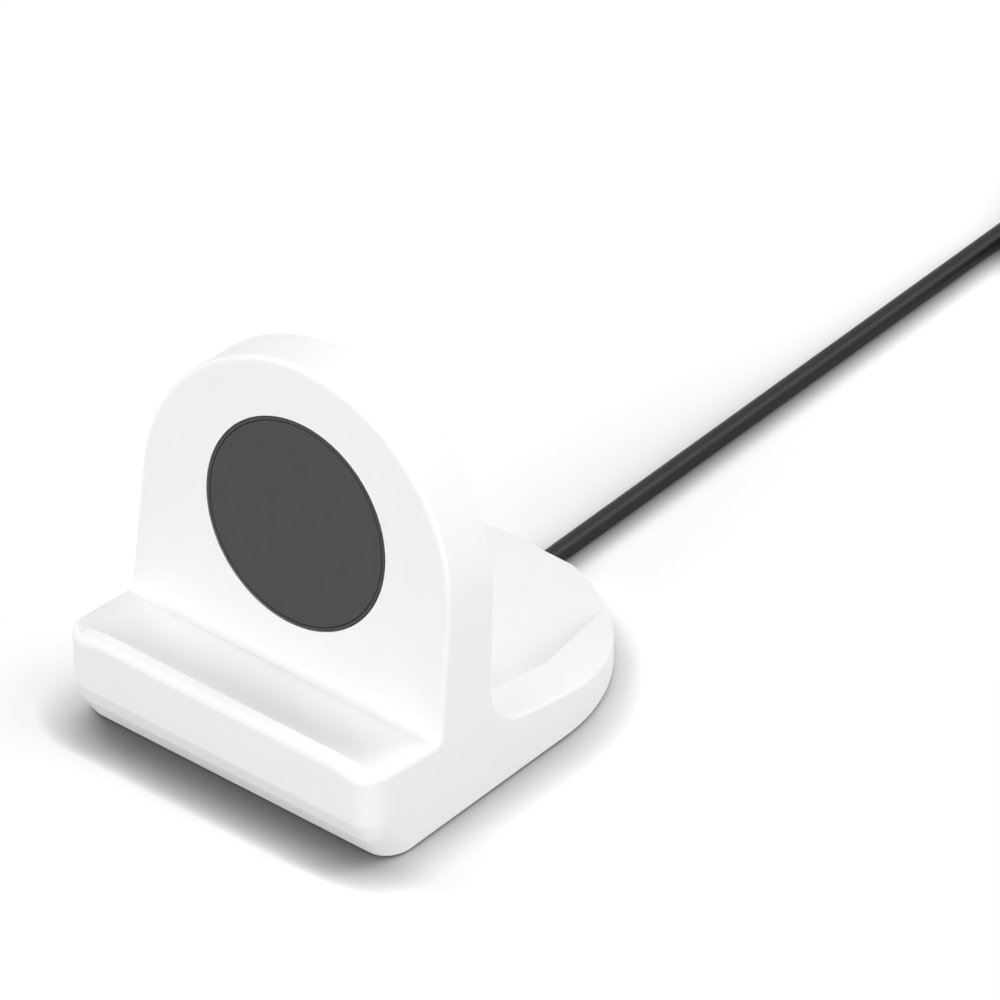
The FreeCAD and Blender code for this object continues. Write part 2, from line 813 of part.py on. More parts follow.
def make_board_parts():
    """The components that face the rear of the puck, and the wires on the other side."""
    chips(
        "charge_controller", "controller_side", "controller_side", "controller_thickness",
        [("0", "controller_row")],
    )
    chips(
        "bridge_transistors", "switch_side", "switch_side", "switch_thickness",
        [(f"{step} * switch_pitch", "switch_row") for step in (-1.5, -0.5, 0.5, 1.5)],
    )
    chips(
        "resonant_capacitors", "capacitor_width", "capacitor_length", "capacitor_thickness",
        [(f"{step} * capacitor_pitch", "capacitor_row") for step in (-1.5, -0.5, 0.5, 1.5)],
    )
    chips(
        "filter_choke", "choke_side", "choke_side", "choke_thickness",
        [("choke_place", "controller_row")],
    )
    chips(
        "heat_sensor", "sensor_length", "sensor_width", "switch_thickness",
        [("sensor_place", "controller_row")],
    )
    leads = []
    joints = []
    for sign in ("-", "+"):
        leads.append(
            rod(
                f"power_lead_{len(leads) + 1}", "lead_radius", "lead_start - joint_reach - joint_radius",
                x=f"{sign} lead_spread / 2", y="-joint_reach - joint_radius",
                z="-board_top + lead_radius", turn="90",
            )
        )
        joint = doc.addObject("Part::Cone", f"joint_{len(leads)}")
        bind(joint, Radius1="joint_radius", Radius2="joint_radius / 2", Height="lead_diameter")
        joints.append(at(joint, x=f"{sign} lead_spread / 2", y="-joint_reach", z="-board_top"))
    sub_part("power_leads", grouped("power_lead_pair", *leads), **PUCK)
    sub_part("solder_joints", grouped("joint_pair", *joints), **PUCK)
    coil_leads = [
        rod(
            f"coil_lead_{side}", "coil_lead_radius", "board_top - winding_level - winding_groove",
            x=f"{sign} lead_spread", y="coil_lead_reach", z="-board_top",
        )
        for side, sign in (("left", "-"), ("right", "+"))
    ]
    sub_part("coil_leads", grouped("coil_lead_pair", *coil_leads), **PUCK)


def make_puck_relief():
    """The soft sleeve where the cable leaves the puck, clipped in the case wall by a flange."""
    sleeve = turned_body(
        "relief_sleeve",
        [
            ("cable_diameter / 2", "lead_start"),
            ("relief_flange_radius", "lead_start"),
            ("relief_flange_radius", "cavity_radius"),
            ("relief_neck_radius", "cavity_radius"),
            ("relief_neck_radius", "puck_radius"),
            ("relief_collar_radius", "puck_radius"),
            ("relief_collar_radius", "puck_radius + relief_collar"),
            ("cable_diameter / 2 + relief_tip_wall", "puck_radius + relief_length"),
            ("cable_diameter / 2", "puck_radius + relief_length"),
        ],
    )
    return sub_part(
        "puck_strain_relief", sleeve,
        y="puck_centre_depth + cos(panel_lean) * entry_depth - body_depth / 2",
        z="puck_centre_height - sin(panel_lean) * entry_depth",
        turn="180 - panel_lean",
    )


def rounded_path(points, share):
    """Straight runs joined by tangent arcs, each as wide as its shorter run allows."""
    edges = []
    radii = []
    start = points[0]
    for before, corner, after in zip(points, points[1:], points[2:]):
        incoming = (corner - before).normalize()
        outgoing = (after - corner).normalize()
        turn = incoming.getAngle(outgoing)
        reach = share * min((corner - before).Length, (after - corner).Length)
        radius = reach / math.tan(turn / 2)
        inner = (outgoing - incoming).normalize()
        middle = corner + inner * (radius / math.cos(turn / 2) - radius)
        first = corner - incoming * reach
        last = corner + outgoing * reach
        edges.append(Part.LineSegment(start, first).toShape())
        edges.append(Part.Arc(first, middle, last).toShape())
        radii.append(radius)
        start = last
    edges.append(Part.LineSegment(start, points[-1]).toShape())
    return Part.Wire(edges), radii


def make_held_cable():
    """The cable from the puck down the slit, round to the rear and along the groove."""
    lean = math.radians(size("panel_lean"))
    down = FreeCAD.Vector(0, -math.sin(lean), -math.cos(lean))
    entry = FreeCAD.Vector(0, size("entry_y"), size("entry_z"))
    corner = FreeCAD.Vector(0, size("turn_y"), size("cable_height"))
    reach = size("cable_turn_reach")
    shift = X_AXIS * size("cable_offset")
    level = Z_AXIS * size("cable_height")
    points = [
        entry,
        corner - down * reach,
        corner + Y_AXIS * reach,
        level + Y_AXIS * size("cable_shift_start"),
        level + Y_AXIS * size("cable_shift_end") + shift,
        level + Y_AXIS * size("body_depth") + shift,
    ]
    wire, radii = rounded_path(points, size("cable_turn_share"))
    radius = size("cable_diameter") / 2
    print("held cable radii", [round(value, 2) for value in radii], "length", round(wire.Length, 2))
    section = Part.Wire(Part.makeCircle(radius, entry, down))
    tube = wire.makePipeShell([section], True, False)
    expected = math.pi * radius**2 * wire.Length
    if not near(tube.Volume / expected, 1):
        raise ValueError("the held cable's volume doesn't fit its length")
    piece = doc.addObject("Part::Feature", "held_cable_tube")
    piece.Shape = tube
    return sub_part("held_cable", piece, **STAND)


def make_free_cable():
    """The straight cable behind the stand, and the wound length at its end."""
    run = rod(
        "cable_run", "cable_diameter / 2", "free_run",
        x="cable_offset", y="body_depth / 2 + free_run", z="cable_height", turn="90",
    )
    sub_part("cable", run)
    print("free cable: one straight run of", size("free_run"), "and no bend")
    wound = turned_body(
        "hank_ring",
        [
            ("hank_radius - hank_half_width", "hank_edge_radius"),
            ("hank_radius - hank_half_width + hank_edge_radius", "0"),
            ("hank_radius + hank_half_width - hank_edge_radius", "0"),
            ("hank_radius + hank_half_width", "hank_edge_radius"),
            ("hank_radius + hank_half_width", "hank_height - hank_edge_radius"),
            ("hank_radius + hank_half_width - hank_edge_radius", "hank_height"),
            ("hank_radius - hank_half_width + hank_edge_radius", "hank_height"),
            ("hank_radius - hank_half_width", "hank_height - hank_edge_radius"),
        ],
    )
    at(wound, x="hank_middle", y="hank_depth")
    lead_in = rod(
        "hank_lead_in", "cable_diameter / 2", "hank_ahead - hank_radius / 4",
        x="cable_offset", y="hank_depth - hank_radius / 4", z="cable_height", turn="90",
    )
    lead_out = rod(
        "hank_lead_out", "cable_diameter / 2", "hank_stub - hank_radius / 4",
        x="hank_middle + hank_radius / 4", y="hank_depth + hank_outer_turn", z="plug_height",
        turn="90", axis="0; 1; 0",
    )
    return sub_part("cable_coil", fused("hank", wound, lead_in, lead_out), **STAND)


PLUG_Y = "hank_depth + hank_outer_turn"
PLUG_START = "hank_middle + hank_stub"


def make_plug():
    """The plug on the cable's far end: relief, moulded grip, metal shell and its contacts."""
    relief = turned_body(
        "plug_sleeve",
        [
            ("0", "0"),
            ("cable_diameter / 2 + relief_tip_wall", "0"),
            ("plug_relief_radius", "plug_relief_length"),
            ("0", "plug_relief_length"),
        ],
    )
    sub_part(
        "plug_strain_relief", relief, x=PLUG_START, y=f"{PLUG_Y} - body_depth / 2", z="plug_height",
        turn="90", axis="0; 1; 0",
    )
    grip = block(
        "grip_bar", "plug_grip_length", "plug_grip_width", "plug_grip_thickness",
        x=f"{PLUG_START} + plug_relief_length", y=f"{PLUG_Y} - plug_grip_width / 2",
        z="plug_height - plug_grip_thickness / 2",
    )
    middle = f"{PLUG_START} + plug_relief_length + plug_grip_length / 2"
    grip = rounded(
        "grip_sides", grip, "plug_side_radius",
        *[
            (middle, f"{PLUG_Y} {side} plug_grip_width / 2", f"plug_height {level} plug_grip_thickness / 2")
            for side in ("-", "+")
            for level in ("-", "+")
        ],
    )
    socket = obround(
        "grip_socket", "shell_width", "shell_thickness", "plug_grip_length",
        "shell_root", PLUG_Y, "plug_height",
    )
    sub_part("plug_grip", cut("grip", grip, socket), **STAND)
    outer = obround(
        "shell_outside", "shell_width", "shell_thickness", "shell_length + shell_rooting",
        "shell_root", PLUG_Y, "plug_height",
    )
    inner = obround(
        "shell_inside", "shell_width - 2 * shell_wall", "shell_thickness - 2 * shell_wall",
        "shell_length * 3", "shell_root - shell_length", PLUG_Y, "plug_height",
    )
    sub_part("plug_shell", cut("shell", outer, inner), **STAND)
    lining = obround(
        "insert_outside", "shell_width - 2 * shell_wall", "shell_thickness - 2 * shell_wall",
        "shell_length + shell_rooting - insert_setback", "shell_root", PLUG_Y, "plug_height",
    )
    mouth = obround(
        "insert_mouth", "shell_width - 2 * shell_wall - 2 * insert_wall",
        "shell_thickness - 2 * shell_wall - 2 * insert_wall",
        "shell_length * 2", "shell_root + shell_rooting", PLUG_Y, "plug_height",
    )
    sub_part("plug_insert", cut("insert", lining, mouth), **STAND)
    contacts = []
    count = int(size("contact_count"))
    for place in range(count):
        step = place - (count - 1) / 2
        contacts.append(
            block(
                f"contact_{place + 1}", "shell_length - 2 * insert_setback", "contact_width",
                "contact_height",
                x="shell_root + shell_rooting", y=f"{PLUG_Y} + {step} * contact_pitch - contact_width / 2",
                z="plug_height - shell_thickness / 2 + shell_wall + insert_wall",
            )
        )
    sub_part("plug_contacts", grouped("contact_row", *contacts), **STAND)


def finish():
    """Check every object, then write one file for each sub-part."""
    doc.recompute()
    for item in doc.Objects:
        if "Invalid" in item.State or "Error" in item.State:
            raise ValueError(f"{item.Name} is {item.State}")
    os.makedirs("parts", exist_ok=True)
    for feature in SUB_PARTS:
        shape = feature.Shape
        if shape.isNull() or not shape.isValid() or not shape.Solids:
            raise ValueError(f"{feature.Label} isn't a valid solid")
        print(feature.Label, len(shape.Solids), round(shape.Volume, 2))
    for feature in SUB_PARTS:
        feature.Shape.exportStep(f"parts/{feature.Label}.step")


make_stand()
make_grip_pad()
make_puck_case()
make_stack()
make_board_parts()
make_puck_relief()
make_held_cable()
make_free_cable()
make_plug()
finish()
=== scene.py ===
import math
from functools import cached_property

import bmesh
import bpy
import numpy as np
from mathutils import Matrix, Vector


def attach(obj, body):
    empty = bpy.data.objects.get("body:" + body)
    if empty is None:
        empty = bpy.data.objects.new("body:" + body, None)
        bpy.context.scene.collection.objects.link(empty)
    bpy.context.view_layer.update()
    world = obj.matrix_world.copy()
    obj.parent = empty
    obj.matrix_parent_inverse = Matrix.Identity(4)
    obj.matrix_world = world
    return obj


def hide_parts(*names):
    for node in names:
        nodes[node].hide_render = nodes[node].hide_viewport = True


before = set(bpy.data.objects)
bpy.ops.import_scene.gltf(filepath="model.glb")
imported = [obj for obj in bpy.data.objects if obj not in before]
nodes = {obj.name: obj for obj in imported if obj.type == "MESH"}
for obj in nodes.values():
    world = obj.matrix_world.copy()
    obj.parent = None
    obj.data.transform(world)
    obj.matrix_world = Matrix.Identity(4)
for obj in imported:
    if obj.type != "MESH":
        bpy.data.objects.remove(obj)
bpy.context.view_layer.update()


# The view: a long lens far off, turned 40 degrees to the right of the stand and raised 37 degrees,
# so that upright edges stay parallel as they are on a catalogue picture.
VIEW_TURN = math.radians(40)
VIEW_RISE = math.radians(37)
VIEW_DISTANCE = 5.0
VIEW_TARGET = Vector((-0.01415, 0.0431, 0.0))
VIEW_WIDTH = 0.13908
FILM_WIDTH = 36


def placed(name, data):
    """An object for the data, linked into the scene at the origin."""
    made = bpy.data.objects.new(name, data)
    bpy.context.scene.collection.objects.link(made)
    return made


def direction(turn, rise):
    """Unit vector from the stand's front turned round to the right by one angle and up by another."""
    return Vector((
        math.sin(turn) * math.cos(rise),
        -math.cos(turn) * math.cos(rise),
        math.sin(rise),
    ))


towards_camera = direction(VIEW_TURN, VIEW_RISE)
camera = placed("camera", bpy.data.cameras.new("camera"))
camera.data.sensor_width = FILM_WIDTH
camera.data.lens = FILM_WIDTH * VIEW_DISTANCE / VIEW_WIDTH
camera.data.clip_end = 10 * VIEW_DISTANCE
camera.location = VIEW_TARGET + towards_camera * VIEW_DISTANCE
camera.rotation_euler = (-towards_camera).to_track_quat("-Z", "Y").to_euler()
bpy.context.scene.camera = camera


# The free cable: a thin black jacketed lead, limp enough to wind small. It leaves the groove at the
# rear of the stand in a straight line, and the part that is not in use is wound into a flat hank of
# two layers of four turns, from the outside in on the table and back out on top.
CABLE_THICK = 0.0029
CABLE_EXIT = (0.00115, 0.0345, 0.0015)
STRAIGHT_RUN = (0.0345, 0.052, 0.075, 0.099, 0.123, 0.141, 0.1505)
TURN_MIDDLE = (0.021575, 0.1505)
TURN_GAP = 0.00295
TURN_RADII = 0.016 + TURN_GAP * np.array([1.5, 0.5, -0.5, -1.5, -1.5, -0.5, 0.5, 1.5, 1.5])
TURNS = 8.25
LAYER_TURNS = 4
TURN_POINTS = 20
JOG_SHARE = 0.25
LEAD_REACHES = (0.001, 0.005, 0.009, 0.013)
PLUG_LEVEL = 0.0030


def smooth_step(x):
    """0 before 0, 1 after 1, and 3 x squared less 2 x cubed between."""
    x = np.clip(x, 0, 1)
    return x * x * (3 - 2 * x)


def hank_points(turns):
    """Points of the winding: turn number t goes round clockwise from the left, its radius held until
    the last quarter of each turn and then stepped to the next turn's; the level steps up once, at
    the end of the lower layer."""
    whole = np.floor(turns).astype(int)
    step = smooth_step((turns - whole - (1 - JOG_SHARE)) / JOG_SHARE)
    radius = TURN_RADII[whole] * (1 - step)
    radius += TURN_RADII[np.minimum(whole + 1, len(TURN_RADII) - 1)] * step
    level = CABLE_EXIT[2] + TURN_GAP * smooth_step((turns - LAYER_TURNS + JOG_SHARE) / JOG_SHARE)
    angle = math.pi - 2 * math.pi * turns
    return np.stack([
        TURN_MIDDLE[0] + radius * np.cos(angle),
        TURN_MIDDLE[1] + radius * np.sin(angle),
        level,
    ], axis=1)


straight = [(CABLE_EXIT[0], y, CABLE_EXIT[2]) for y in STRAIGHT_RUN]
wound = hank_points(np.arange(1, TURNS * TURN_POINTS) / TURN_POINTS)
lead_y = TURN_MIDDLE[1] + TURN_RADII[-1]
upper_level = CABLE_EXIT[2] + TURN_GAP
led_out = [
    (TURN_MIDDLE[0] + reach, lead_y, level)
    for reach, level in zip(LEAD_REACHES, (upper_level, upper_level, PLUG_LEVEL, PLUG_LEVEL))
]
route = np.vstack([straight, wound, led_out])
cable_line = bpy.data.curves.new("free_cable", "CURVE")
cable_line.dimensions = "3D"
cable_line.bevel_depth = 1
cable_line.bevel_resolution = 5
cable_line.resolution_u = 4
cable_line.use_fill_caps = True
run = cable_line.splines.new("NURBS")
run.points.add(len(route) - 1)
run.points.foreach_set("co", np.c_[route, np.ones(len(route))].ravel())
run.points.foreach_set("radius", np.full(len(route), CABLE_THICK / 2))
run.order_u = 3
run.use_endpoint_u = True
free_cable = placed("free_cable", cable_line)
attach(free_cable, "root")
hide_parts("cable", "cable_coil")


class Reading:
    """A number that varies over a surface: a shader socket that can be worked with as a number."""

    def __init__(self, finish, socket):
        self.finish, self.socket = finish, socket

    def worked(self, operation, first, second):
        made = self.finish.node("ShaderNodeMath", {"operation": operation}, {0: first, 1: second})
        return Reading(self.finish, made.outputs[0])

    def __add__(self, other):
        return self.worked("ADD", self, other)

    def __rsub__(self, other):
        return self.worked("SUBTRACT", other, self)

    def __mul__(self, other):
        return self.worked("MULTIPLY", self, other)

    def __pow__(self, other):
        return self.worked("POWER", self, other)

    __radd__ = __add__
    __rmul__ = __mul__


class Finish:
    """The nodes of one material, or of the room: `node` adds any node, and `grain`, `cells`,
    `part_of`, `between` and `surface` add the ones used most."""

    def __init__(self, owner):
        self.owner = owner
        owner.use_nodes = True
        self.tree = owner.node_tree
        self.tree.nodes.clear()

    @cached_property
    def place(self):
        """Object coordinates, in metres."""
        return self.node("ShaderNodeTexCoord").outputs["Object"]

    def node(self, kind, settings=(), sockets=()):
        """Adds a node, sets its settings, then gives its sockets their values or links."""
        made = self.tree.nodes.new(kind)
        for name, value in dict(settings).items():
            setattr(made, name, value)
        for name, value in dict(sockets).items():
            value = getattr(value, "socket", value)
            if isinstance(value, bpy.types.NodeSocket):
                self.tree.links.new(value, made.inputs[name])
            else:
                made.inputs[name].default_value = value
        return made

    def grain(self, size, depth=2):
        """Soft noise with features about `size` metres across, 0 to 1."""
        made = self.node("ShaderNodeTexNoise", {"noise_dimensions": "3D"}, {
            "Vector": self.place, "Scale": 1 / size, "Detail": depth})
        return Reading(self, made.outputs["Fac"])

    def cells(self, size):
        """Distance to the middle of irregular cells about `size` metres across."""
        made = self.node("ShaderNodeTexVoronoi", {}, {"Vector": self.place, "Scale": 1 / size})
        return Reading(self, made.outputs["Distance"])

    def part_of(self, reading, low, high):
        """0 where the reading is under `low`, 1 over `high`, smooth between."""
        made = self.node("ShaderNodeMapRange", {"interpolation_type": "SMOOTHSTEP"}, {
            "Value": reading, "From Min": low, "From Max": high})
        return Reading(self, made.outputs["Result"])

    def between(self, share, first, second):
        """The first colour where the share is 0, the second where it is 1."""
        made = self.node("ShaderNodeMix", {"data_type": "RGBA"}, {0: share, 6: first, 7: second})
        return made.outputs[2]

    def surface(self, bump, bump_depth, **sockets):
        """Ends the material in one Principled shader, with a bump in metres."""
        values = {name.replace("_", " "): value for name, value in sockets.items()}
        made = self.node("ShaderNodeBump", {}, {"Height": bump, "Distance": bump_depth, "Strength": 1.0})
        shader = self.node("ShaderNodeBsdfPrincipled", {}, {**values, "Normal": made.outputs[0]})
        self.node("ShaderNodeOutputMaterial", {}, {"Surface": shader.outputs[0]})
        return self.owner


def new_finish(name):
    return Finish(bpy.data.materials.new(name))


def dressed(material, *names):
    """Gives CAD nodes their material."""
    for name in names:
        slots = nodes[name].data.materials
        slots.clear()
        slots.append(material)


def grey(level):
    return (level, level, level, 1)


jacket = new_finish("cable_jacket")
dust = jacket.part_of(jacket.grain(0.0016, depth=4), 0.45, 0.8)
jacket_material = jacket.surface(
    bump=jacket.grain(0.00022, depth=3), bump_depth=0.00001,
    Base_Color=jacket.between(dust, grey(0.008), grey(0.012)),
    Roughness=0.34 + 0.12 * jacket.grain(0.003, depth=3),
    Specular_IOR_Level=0.22,
)
cable_line.materials.append(jacket_material)
dressed(jacket_material, "held_cable", "puck_strain_relief")


# The stand: one moulding of soft white silicone with a matt skin, made in a two-part mould. It is a
# merged copy of the CAD solid, shaded smooth over its rounded rims, with the scooped trough blended
# into the ledge and the top of the lip sloped forwards as the mould leaves them.
LEDGE_FRONT, LEDGE_REAR, LEDGE_END = -0.03215, -0.0209, 0.0264
LEDGE_LEVEL, LEDGE_SLOPE, LEDGE_LOW = 0.012678, 0.105104, 0.012
LEDGE_CUTS_ACROSS, LEDGE_CUTS_ALONG = 53, 17
TROUGH_DEPTH = 0.0018
LIP_FRONT, LIP_THICK, LIP_DROP, LIP_LOW = -0.0345, 0.0021, 0.0008, 0.0148
SAME_PLACE = 2e-6
UPWARDS = 0.4
SMOOTH_BEND = math.radians(40)
SAME_FACING, SAME_LEVEL = 1 / 400, 1 / 40000


def ledge_level(y):
    """Height of the ledge before it is scooped: a plane that falls 6 degrees to the rear."""
    return LEDGE_LEVEL - LEDGE_SLOPE * y


def trough_level(x, y):
    """Height of the scooped ledge: its plane less the trough's depth times (1 - v to the 6th)
    squared, (1 - u cubed) squared and (1 + 1.5 u), where v goes from 0 in the middle to 1 at
    either end and u from 0 at the lip to 1 at the panel."""
    v = np.clip(np.abs(x) / LEDGE_END, 0, 1)
    u = np.clip((y - LEDGE_FRONT) / (LEDGE_REAR - LEDGE_FRONT), 0, 1)
    return ledge_level(y) - TROUGH_DEPTH * (1 - v ** 6) ** 2 * (1 - u ** 3) ** 2 * (1 + 1.5 * u)


def trough_facing(x, y, step=1e-5):
    """Normals of the trough: the slopes across one small step each way, and 1 upwards."""
    across = (trough_level(x + step, y) - trough_level(x - step, y)) / (2 * step)
    along = (trough_level(x, y + step) - trough_level(x, y - step)) / (2 * step)
    normal = np.stack([-across, -along, np.ones_like(across)], axis=1)
    return normal / np.linalg.norm(normal, axis=1, keepdims=True)


def in_ledge(x, y, z, slack=1e-5):
    """True where a place is on top of the ledge, between the lip, the panel and the two ends."""
    within = (np.abs(x) < LEDGE_END + slack) & (y > LEDGE_FRONT - slack) & (y < LEDGE_REAR + slack)
    return within & (z > LEDGE_LOW) & (z < ledge_level(y) + 2 * slack)


def scoop_ledge(form):
    """Cuts the top of the ledge into a fine net and lays its points on the trough's surface."""
    top = [
        face for face in form.faces
        if face.normal.z > UPWARDS and in_ledge(*face.calc_center_median())
    ]
    net = top + list({edge for face in top for edge in face.edges})
    net += list({corner for face in top for corner in face.verts})
    cuts = [((x, 0, 0), (1, 0, 0)) for x in np.linspace(-LEDGE_END, LEDGE_END, LEDGE_CUTS_ACROSS)]
    cuts += [((0, y, 0), (0, 1, 0)) for y in np.linspace(LEDGE_FRONT, LEDGE_REAR, LEDGE_CUTS_ALONG)]
    for place, facing in cuts:
        net = bmesh.ops.bisect_plane(
            form, geom=net, dist=SAME_PLACE, plane_co=place, plane_no=facing)["geom"]
    for face in net:
        if isinstance(face, bmesh.types.BMFace) and in_ledge(*face.calc_center_median()):
            for corner in face.verts:
                if in_ledge(*corner.co):
                    corner.co.z = trough_level(*corner.co.xy)


def slope_lip(form):
    """Lowers the top of the lip, evenly from nothing at its inner edge to the most at its front."""
    for corner in form.verts:
        share = 1 - (corner.co.y - LIP_FRONT) / LIP_THICK
        if share > 0 and corner.co.z > LIP_LOW:
            corner.co.z -= LIP_DROP * share


def measured(items, name, width=1, kind=float):
    """One measure of all the faces, loops or points of a mesh, a row for each."""
    values = np.empty(len(items) * width, kind)
    items.foreach_get(name, values)
    return values.reshape(-1, width) if width > 1 else values


def corner_normals(form):
    """Normals at the corners of a mesh of triangles. Each is the mean of the faces round its point
    that bend less than SMOOTH_BEND from its own, weighted by the squared area of the whole plane
    that a face lies in, so flat faces stay flat right up to their rounded rims. On top of the
    ledge the trough's own normals are used."""
    facing = measured(form.polygons, "normal", 3)
    middle = measured(form.polygons, "center", 3)
    area = measured(form.polygons, "area")
    level = (facing * middle).sum(1)
    plane = np.round(np.c_[facing / SAME_FACING, level / SAME_LEVEL]).astype(int)
    _, member = np.unique(plane, axis=0, return_inverse=True)
    member = member.ravel()
    weight = np.bincount(member, area)[member] ** 2

    vertex = measured(form.loops, "vertex_index", kind=int)
    order = np.argsort(vertex, kind="stable")
    face = order // 3
    shared = np.bincount(vertex)
    first = np.cumsum(shared) - shared
    many = shared[vertex[order]]
    one = np.repeat(np.arange(len(order)), many)
    other = np.arange(len(one)) - np.repeat(np.cumsum(many) - many, many)
    other += np.repeat(first[vertex[order]], many)

    close = (facing[face[one]] * facing[face[other]]).sum(1) > math.cos(SMOOTH_BEND)
    share = weight[face[other]] * close
    mean = [np.bincount(one, share * facing[face[other], axis]) for axis in range(3)]
    mean = np.stack(mean, axis=1)
    normals = np.empty((len(order), 3))
    normals[order] = mean / np.linalg.norm(mean, axis=1, keepdims=True)

    place = measured(form.vertices, "co", 3)[vertex].T
    top = in_ledge(*place) & (np.repeat(facing[:, 2], 3) > UPWARDS)
    normals[top] = trough_facing(*place[:2, top])
    return normals


silicone = new_finish("stand_silicone")
mottle = silicone.grain(0.012, depth=3)
silicone_material = silicone.surface(
    bump=silicone.grain(0.00035, depth=4), bump_depth=0.000012,
    Base_Color=silicone.between(mottle, (0.872, 0.872, 0.872, 1), (0.892, 0.892, 0.890, 1)),
    Roughness=0.50 + 0.12 * silicone.grain(0.004, depth=3),
    Specular_IOR_Level=0.4,
)
stand_form = nodes["stand_body"].data.copy()
stand_form.name = "stand_moulding"
moulding = bmesh.new()
moulding.from_mesh(stand_form)
bmesh.ops.remove_doubles(moulding, verts=moulding.verts, dist=SAME_PLACE)
scoop_ledge(moulding)
slope_lip(moulding)
bmesh.ops.triangulate(moulding, faces=moulding.faces)
moulding.to_mesh(stand_form)
moulding.free()
stand_form.shade_smooth()
stand_form.normals_split_custom_set(corner_normals(stand_form).tolist())
stand_form.materials.clear()
stand_form.materials.append(silicone_material)
stand = placed("stand_moulding", stand_form)
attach(stand, "root")
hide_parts("stand_body")


# The grip pad: a tacky grey gel sheet, cut to shape with a slot for the cable and let into the base,
# where it keeps the stand from sliding and holds the cable in its groove.
gel = new_finish("grip_gel")
gel_material = gel.surface(
    bump=gel.grain(0.0008, depth=3), bump_depth=0.00003,
    Base_Color=gel.between(gel.grain(0.003), grey(0.10), grey(0.14)),
    Roughness=0.45 + 0.2 * gel.grain(0.002),
)
dressed(gel_material, "grip_pad")


# The puck: a dark grey moulded shell with a fine satin skin, and a cover of the same plastic that is
# snapped into its rim and stuck down on a ring of tape.
shell = new_finish("puck_shell")
shell_material = shell.surface(
    bump=shell.cells(0.00018), bump_depth=0.000008,
    Base_Color=shell.between(shell.grain(0.002, depth=3), grey(0.040), grey(0.048)),
    Roughness=0.42 + 0.1 * shell.grain(0.001, depth=3),
    Specular_IOR_Level=0.3,
)
dressed(shell_material, "puck_rear_case")
cover = new_finish("puck_cover")
cover_material = cover.surface(
    bump=cover.cells(0.00012), bump_depth=0.000006,
    Base_Color=cover.between(cover.grain(0.0025, depth=4), grey(0.044), grey(0.050)),
    Roughness=0.56 + 0.1 * cover.grain(0.0015, depth=3),
    Specular_IOR_Level=0.3,
)
dressed(cover_material, "puck_front_cover")


def plain_finish(name, colour, other, size, roughness, metallic=0.0):
    """A finish with a two-colour grain of the given size, the same grain in its roughness and bump."""
    made = new_finish(name)
    grain = made.grain(size, depth=3)
    return made.surface(
        bump=grain, bump_depth=0.000005,
        Base_Color=made.between(grain, colour, other),
        Roughness=roughness - 0.06 + 0.12 * grain,
        Metallic=metallic,
    )


dressed(plain_finish("black_tape", grey(0.015), grey(0.03), 0.0006, 0.6), "cover_tape")


# The coil stack under the cover: a flat winding of enamelled copper on a ferrite shield and a plated
# flux plate, round a nickel-plated magnet, all held in line by a black moulded carrier. The choke
# on the board is wound on the same ferrite.
dressed(
    plain_finish("copper_wire", (0.70, 0.33, 0.18, 1), (0.82, 0.42, 0.24, 1), 0.0004, 0.28, metallic=1.0),
    "charging_coil", "coil_leads")
dressed(plain_finish("ferrite", grey(0.04), grey(0.065), 0.0003, 0.5), "ferrite_shield", "filter_choke")
dressed(
    plain_finish("plated_steel", (0.5, 0.51, 0.53, 1), (0.6, 0.61, 0.63, 1), 0.0008, 0.32, metallic=1.0),
    "flux_plate")
dressed(
    plain_finish("magnet_nickel", (0.60, 0.59, 0.56, 1), (0.68, 0.67, 0.63, 1), 0.0007, 0.18, metallic=1.0),
    "alignment_magnet")
dressed(plain_finish("carrier_plastic", grey(0.025), grey(0.04), 0.0005, 0.5), "coil_carrier")


# The circuit board behind the coil: green resist, black resin chips, tan ceramic capacitors and
# sensor, and the cable's two power leads in red jackets under beads of solder.
dressed(
    plain_finish("board_resist", (0.01, 0.12, 0.05, 1), (0.015, 0.16, 0.07, 1), 0.0005, 0.3),
    "circuit_board")
dressed(
    plain_finish("chip_resin", grey(0.02), grey(0.035), 0.0001, 0.55),
    "charge_controller", "bridge_transistors")
dressed(
    plain_finish("capacitor_ceramic", (0.40, 0.29, 0.18, 1), (0.5, 0.37, 0.23, 1), 0.0002, 0.45),
    "resonant_capacitors", "heat_sensor")
dressed(
    plain_finish("lead_jacket", (0.35, 0.02, 0.02, 1), (0.42, 0.03, 0.03, 1), 0.0004, 0.4),
    "power_leads")
dressed(plain_finish("solder_tin", grey(0.6), grey(0.75), 0.0003, 0.25, metallic=1.0), "solder_joints")


# The plug: a black grip and strain relief moulded over the cable's end, a drawn steel shell, and
# gold contacts in a black insert.
dressed(
    plain_finish("plug_moulding", grey(0.024), grey(0.034), 0.0005, 0.5),
    "plug_strain_relief", "plug_grip")
dressed(
    plain_finish("plug_steel", (0.36, 0.36, 0.37, 1), (0.44, 0.44, 0.45, 1), 0.0009, 0.28, metallic=1.0),
    "plug_shell")
dressed(plain_finish("insert_plastic", grey(0.025), grey(0.035), 0.0003, 0.5), "plug_insert")
dressed(
    plain_finish("contact_gold", (0.83, 0.60, 0.24, 1), (0.88, 0.66, 0.30, 1), 0.0003, 0.22, metallic=1.0),
    "plug_contacts")


